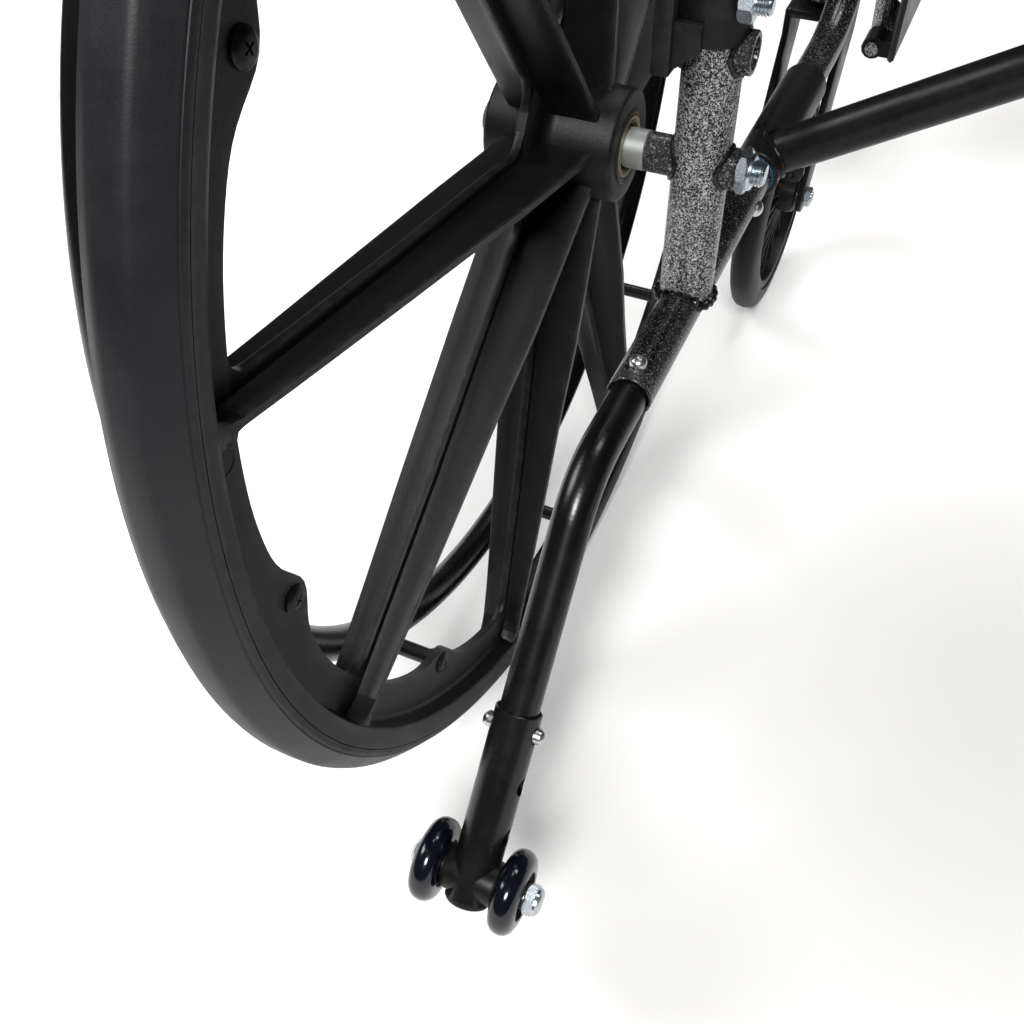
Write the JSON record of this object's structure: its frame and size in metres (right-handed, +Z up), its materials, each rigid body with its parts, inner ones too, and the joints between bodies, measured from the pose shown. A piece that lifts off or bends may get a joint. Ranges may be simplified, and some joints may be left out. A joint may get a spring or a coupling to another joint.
{
  "type": "lightweight folding wheelchair",
  "caption": "Self-propelled folding wheelchair with spoked composite wheels, swivel casters, a cross-brace, flip-back arms, swing-away legrests and rear anti-tippers.",
  "frame": {"origin": "on the floor, under the centre of the whole chair's box", "axes": "+Z up; the sitter faces -Y; +X is the sitter's left"},
  "size_m": [0.652, 1.0094, 0.9185],
  "materials": {
    "silver_vein": "silver powder coat with a fine black vein pattern",
    "black_steel": "black powder coat, satin",
    "gloss_black": "gloss black enamel",
    "zinc": "bright zinc plate",
    "composite": "glass-filled nylon, finely textured",
    "black_plastic": "moulded black plastic, satin",
    "navy_urethane": "dark blue-black urethane, glossy",
    "grey_tyre": "charcoal grey solid urethane",
    "cream_seal": "cream bearing shield with a zinc race",
    "vinyl": "grained black skin",
    "nylon": "black coated nylon cloth"
  },
  "bodies": {
    "frame_left": {"side_frame_left": "silver_vein", "back_cane_left": "silver_vein", "push_grip_left": "vinyl", "arm_bracket_left": "black_plastic", "axle_bolt_left": "zinc", "back_sling": "nylon"},
    "rear_wheel_left": {"wheel_left": "composite", "tyre_left": "grey_tyre", "handrim_left": "black_plastic", "hub_bearing_left": "cream_seal"},
    "caster_swivel_left": {"caster_fork_left": "black_steel"},
    "caster_roll_left": {"caster_wheel_left": "composite", "caster_tyre_left": "grey_tyre"},
    "antitip_left": {"antitip_tube_left": "gloss_black"},
    "antitip_snap_left": {"antitip_button_left": "zinc"},
    "sleeve_left": {"antitip_sleeve_left": "gloss_black"},
    "pin_inner_left": {"sleeve_pin_inner_left": "zinc"},
    "pin_outer_left": {"sleeve_pin_outer_left": "zinc"},
    "roller_inner_left": {"antitip_wheel_inner_left": "navy_urethane"},
    "roller_outer_left": {"antitip_wheel_outer_left": "navy_urethane"},
    "legrest_left": {"hanger_left": "silver_vein"},
    "legrest_latch_left": {"hanger_latch_left": "black_plastic"},
    "foot_slide_left": {"footrest_tube_left": "silver_vein"},
    "foot_flip_left": {"footplate_left": "black_plastic"},
    "arm_left": {"armrest_left": "silver_vein", "arm_pad_left": "vinyl", "skirt_guard_left": "black_plastic"},
    "lock_left": {"lock_lever_left": "black_steel"},
    "frame_right": {"side_frame_right": "silver_vein", "back_cane_right": "silver_vein", "push_grip_right": "vinyl", "arm_bracket_right": "black_plastic", "axle_bolt_right": "zinc"},
    "rear_wheel_right": {"wheel_right": "composite", "tyre_right": "grey_tyre", "handrim_right": "black_plastic", "hub_bearing_right": "cream_seal"},
    "caster_swivel_right": {"caster_fork_right": "black_steel"},
    "caster_roll_right": {"caster_wheel_right": "composite", "caster_tyre_right": "grey_tyre"},
    "antitip_right": {"antitip_tube_right": "gloss_black"},
    "antitip_snap_right": {"antitip_button_right": "zinc"},
    "sleeve_right": {"antitip_sleeve_right": "gloss_black"},
    "pin_inner_right": {"sleeve_pin_inner_right": "zinc"},
    "pin_outer_right": {"sleeve_pin_outer_right": "zinc"},
    "roller_inner_right": {"antitip_wheel_inner_right": "navy_urethane"},
    "roller_outer_right": {"antitip_wheel_outer_right": "navy_urethane"},
    "legrest_right": {"hanger_right": "silver_vein"},
    "legrest_latch_right": {"hanger_latch_right": "black_plastic"},
    "foot_slide_right": {"footrest_tube_right": "silver_vein"},
    "foot_flip_right": {"footplate_right": "black_plastic"},
    "arm_right": {"armrest_right": "silver_vein", "arm_pad_right": "vinyl", "skirt_guard_right": "black_plastic"},
    "lock_right": {"lock_lever_right": "black_steel"},
    "cross_brace_a": {"brace_a": "black_steel", "brace_bolt": "zinc", "seat_sling": "nylon"},
    "cross_brace_b": {"brace_b": "black_steel"}
  },
  "joints": [
    {"name": "fold", "type": "hinge", "parent": "frame_left", "child": "cross_brace_a", "pos_m": [0.218, 0.07877, 0.2255], "axis": [0, 1, 0], "range_deg": [0, 41], "deforming": ["seat_sling", "back_sling"]},
    {"name": "fold_centre", "type": "hinge", "parent": "cross_brace_a", "child": "cross_brace_b", "pos_m": [0, 0.07877, 0.3565], "axis": [0, 1, 0], "range_deg": [-82, 0]},
    {"name": "fold_side", "type": "hinge", "parent": "cross_brace_b", "child": "frame_right", "pos_m": [-0.218, 0.07877, 0.2255], "axis": [0, 1, 0], "range_deg": [0, 41]},
    {"name": "rear_wheel_roll_left", "type": "hinge", "parent": "frame_left", "child": "rear_wheel_left", "pos_m": [0.2775, 0.20727, 0.2975], "axis": [1, 0, 0], "continuous": true},
    {"name": "caster_swivel_left", "type": "hinge", "parent": "frame_left", "child": "caster_swivel_left", "pos_m": [0.24, -0.18873, 0.2185], "axis": [0, 0, 1], "continuous": true},
    {"name": "caster_roll_left", "type": "hinge", "parent": "caster_swivel_left", "child": "caster_roll_left", "pos_m": [0.24, -0.12873, 0.0925], "axis": [1, 0, 0], "continuous": true},
    {"name": "antitip_pull_left", "type": "slide", "parent": "frame_left", "child": "antitip_left", "axis": [0, 1, 0], "range_m": [0, 0.06], "deforming": ["antitip_button_left"]},
    {"name": "antitip_snap_left", "type": "slide", "parent": "antitip_left", "child": "antitip_snap_left", "axis": [0, 0, -1], "range_m": [0, 0.0057], "stiffness_N_per_m": 700, "springref_m": -0.004},
    {"name": "sleeve_slide_left", "type": "slide", "parent": "antitip_left", "child": "sleeve_left", "axis": [0, -0.6561, 0.7547], "range_m": [0, 0.0476], "deforming": ["sleeve_pin_inner_left", "sleeve_pin_outer_left"]},
    {"name": "pin_inner_left", "type": "slide", "parent": "antitip_left", "child": "pin_inner_left", "axis": [1, 0, 0], "range_m": [0, 0.0057], "stiffness_N_per_m": 700, "springref_m": -0.004},
    {"name": "pin_outer_left", "type": "slide", "parent": "antitip_left", "child": "pin_outer_left", "axis": [-1, 0, 0], "range_m": [0, 0.0057], "stiffness_N_per_m": 700, "springref_m": -0.004},
    {"name": "roller_inner_left", "type": "hinge", "parent": "sleeve_left", "child": "roller_inner_left", "pos_m": [0.199, 0.46025, 0.08678], "axis": [1, 0, 0], "continuous": true},
    {"name": "roller_outer_left", "type": "hinge", "parent": "sleeve_left", "child": "roller_outer_left", "pos_m": [0.237, 0.46025, 0.08678], "axis": [1, 0, 0], "continuous": true},
    {"name": "legrest_swing_left", "type": "hinge", "parent": "frame_left", "child": "legrest_left", "pos_m": [0.218, -0.19473, 0.3065], "axis": [0, 0, 1], "range_deg": [0, 90]},
    {"name": "legrest_latch_left", "type": "hinge", "parent": "legrest_left", "child": "legrest_latch_left", "pos_m": [0.218, -0.22073, 0.3435], "axis": [0, 0, -1], "range_deg": [0, 20], "stiffness_Nm_per_rad": 0.4, "springref_deg": -17.19},
    {"name": "foot_slide_left", "type": "slide", "parent": "legrest_left", "child": "foot_slide_left", "axis": [0, 0.342, 0.9397], "range_m": [-0.07, 0]},
    {"name": "foot_flip_left", "type": "hinge", "parent": "foot_slide_left", "child": "foot_flip_left", "pos_m": [0.218, -0.41102, 0.1075], "axis": [0, 1, 0], "range_deg": [-90, 0]},
    {"name": "arm_flip_left", "type": "hinge", "parent": "frame_left", "child": "arm_left", "pos_m": [0.248, 0.20727, 0.4625], "axis": [-1, 0, 0], "range_deg": [0, 90]},
    {"name": "wheel_lock_left", "type": "hinge", "parent": "frame_left", "child": "lock_left", "pos_m": [0.252, -0.10704, 0.4165], "axis": [1, 0, 0], "range_deg": [0, 10.4]},
    {"name": "rear_wheel_roll_right", "type": "hinge", "parent": "frame_right", "child": "rear_wheel_right", "pos_m": [-0.2775, 0.20727, 0.2975], "axis": [1, 0, 0], "continuous": true},
    {"name": "caster_swivel_right", "type": "hinge", "parent": "frame_right", "child": "caster_swivel_right", "pos_m": [-0.24, -0.18873, 0.2185], "axis": [0, 0, 1], "continuous": true},
    {"name": "caster_roll_right", "type": "hinge", "parent": "caster_swivel_right", "child": "caster_roll_right", "pos_m": [-0.24, -0.12873, 0.0925], "axis": [1, 0, 0], "continuous": true},
    {"name": "antitip_pull_right", "type": "slide", "parent": "frame_right", "child": "antitip_right", "axis": [0, 1, 0], "range_m": [0, 0.06], "deforming": ["antitip_button_right"]},
    {"name": "antitip_snap_right", "type": "slide", "parent": "antitip_right", "child": "antitip_snap_right", "axis": [0, 0, -1], "range_m": [0, 0.0057], "stiffness_N_per_m": 700, "springref_m": -0.004},
    {"name": "sleeve_slide_right", "type": "slide", "parent": "antitip_right", "child": "sleeve_right", "axis": [0, -0.6561, 0.7547], "range_m": [0, 0.0476], "deforming": ["sleeve_pin_inner_right", "sleeve_pin_outer_right"]},
    {"name": "pin_inner_right", "type": "slide", "parent": "antitip_right", "child": "pin_inner_right", "axis": [-1, 0, 0], "range_m": [0, 0.0057], "stiffness_N_per_m": 700, "springref_m": -0.004},
    {"name": "pin_outer_right", "type": "slide", "parent": "antitip_right", "child": "pin_outer_right", "axis": [1, 0, 0], "range_m": [0, 0.0057], "stiffness_N_per_m": 700, "springref_m": -0.004},
    {"name": "roller_inner_right", "type": "hinge", "parent": "sleeve_right", "child": "roller_inner_right", "pos_m": [-0.199, 0.46025, 0.08678], "axis": [1, 0, 0], "continuous": true},
    {"name": "roller_outer_right", "type": "hinge", "parent": "sleeve_right", "child": "roller_outer_right", "pos_m": [-0.237, 0.46025, 0.08678], "axis": [1, 0, 0], "continuous": true},
    {"name": "legrest_swing_right", "type": "hinge", "parent": "frame_right", "child": "legrest_right", "pos_m": [-0.218, -0.19473, 0.3065], "axis": [0, 0, -1], "range_deg": [0, 90]},
    {"name": "legrest_latch_right", "type": "hinge", "parent": "legrest_right", "child": "legrest_latch_right", "pos_m": [-0.218, -0.22073, 0.3435], "axis": [0, 0, 1], "range_deg": [0, 20], "stiffness_Nm_per_rad": 0.4, "springref_deg": -17.19},
    {"name": "foot_slide_right", "type": "slide", "parent": "legrest_right", "child": "foot_slide_right", "axis": [0, 0.342, 0.9397], "range_m": [-0.07, 0]},
    {"name": "foot_flip_right", "type": "hinge", "parent": "foot_slide_right", "child": "foot_flip_right", "pos_m": [-0.218, -0.41102, 0.1075], "axis": [0, -1, 0], "range_deg": [-90, 0]},
    {"name": "arm_flip_right", "type": "hinge", "parent": "frame_right", "child": "arm_right", "pos_m": [-0.248, 0.20727, 0.4625], "axis": [-1, 0, 0], "range_deg": [0, 90]},
    {"name": "wheel_lock_right", "type": "hinge", "parent": "frame_right", "child": "lock_right", "pos_m": [-0.252, -0.10704, 0.4165], "axis": [1, 0, 0], "range_deg": [0, 10.4]}
  ],
  "couplings": [
    {"joint": "fold_centre", "follows": "fold", "ratio": -2},
    {"joint": "fold_side", "follows": "fold", "ratio": 1}
  ]
}
